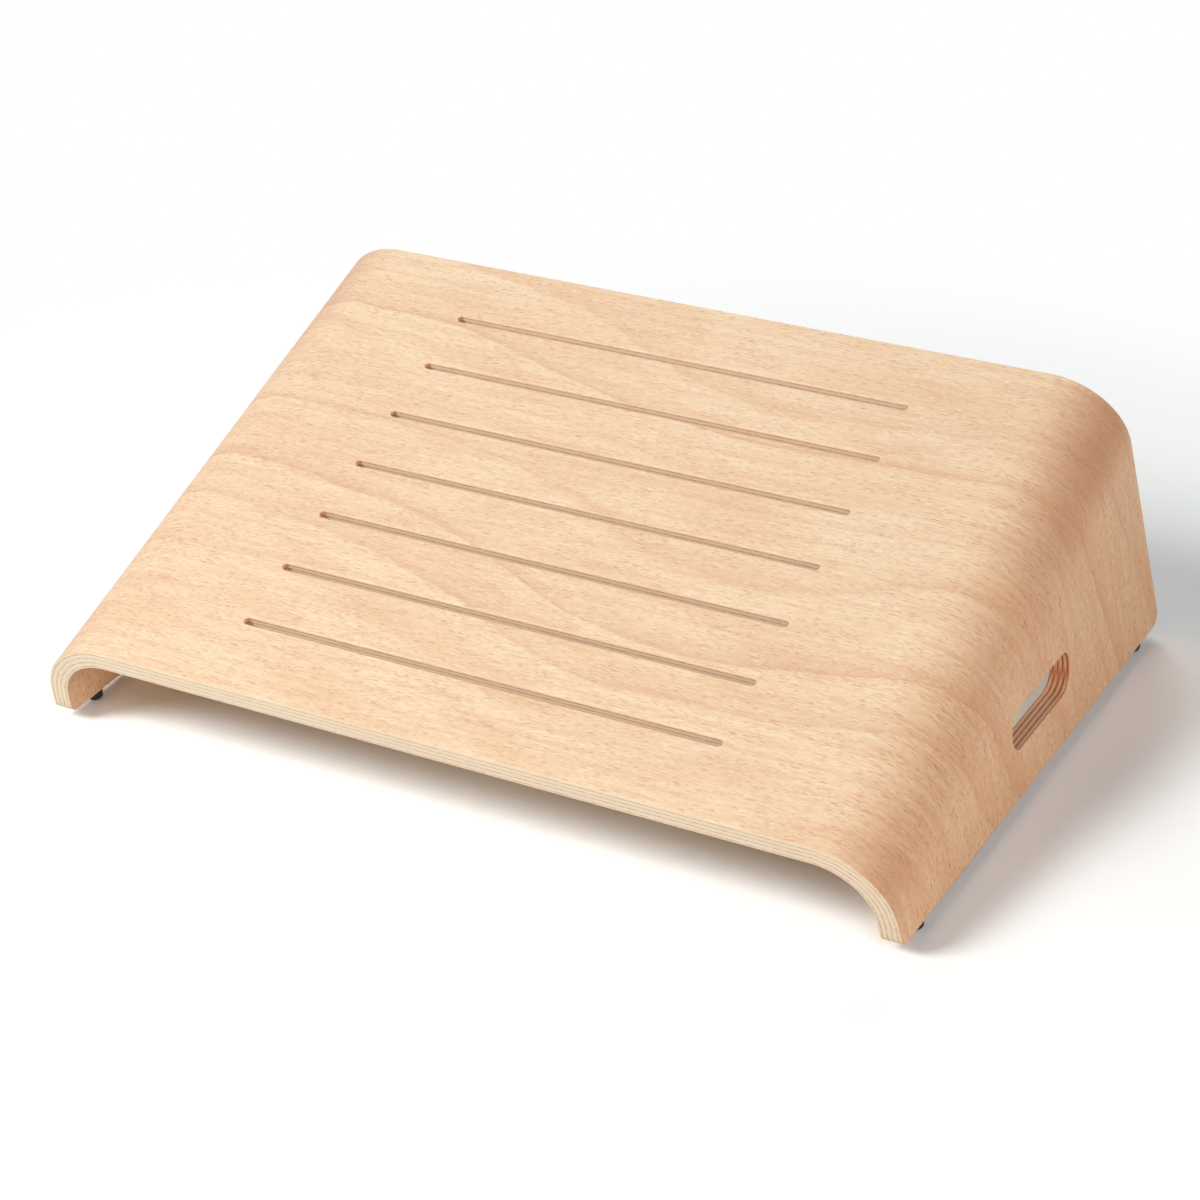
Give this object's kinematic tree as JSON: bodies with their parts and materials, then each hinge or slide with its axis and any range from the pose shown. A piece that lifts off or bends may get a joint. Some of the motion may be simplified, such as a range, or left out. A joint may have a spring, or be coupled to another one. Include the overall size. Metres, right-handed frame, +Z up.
{
  "type": "desk footrest",
  "caption": "Free-standing desk footrest: a sloping slotted tread with round bends to two side walls, each with a hand hole, moulded from plywood on rubber feet.",
  "frame": {"origin": "on the floor, under the middle of the footrest's bounding box", "axes": "+Z up, +X towards the right side wall, +Y towards the tall back edge; the tread slopes down towards -Y"},
  "size_m": [0.536, 0.389, 0.1807],
  "materials": {
    "beech_face": "pale beech veneer, long grain, clear satin lacquer",
    "beech_crossband": "beech crossband veneer, seen as end grain on the cut edges",
    "black_rubber": "matte moulded rubber"
  },
  "bodies": {
    "root": {"veneer_1_outer_face": "beech_face", "veneer_2_cross": "beech_crossband", "veneer_3_long": "beech_face", "veneer_4_cross": "beech_crossband", "veneer_5_long": "beech_face", "veneer_6_cross": "beech_crossband", "veneer_7_long": "beech_face", "veneer_8_cross": "beech_crossband", "veneer_9_inner_face": "beech_face", "foot_front_left": "black_rubber", "foot_front_right": "black_rubber", "foot_rear_left": "black_rubber", "foot_rear_right": "black_rubber"}
  },
  "joints": []
}
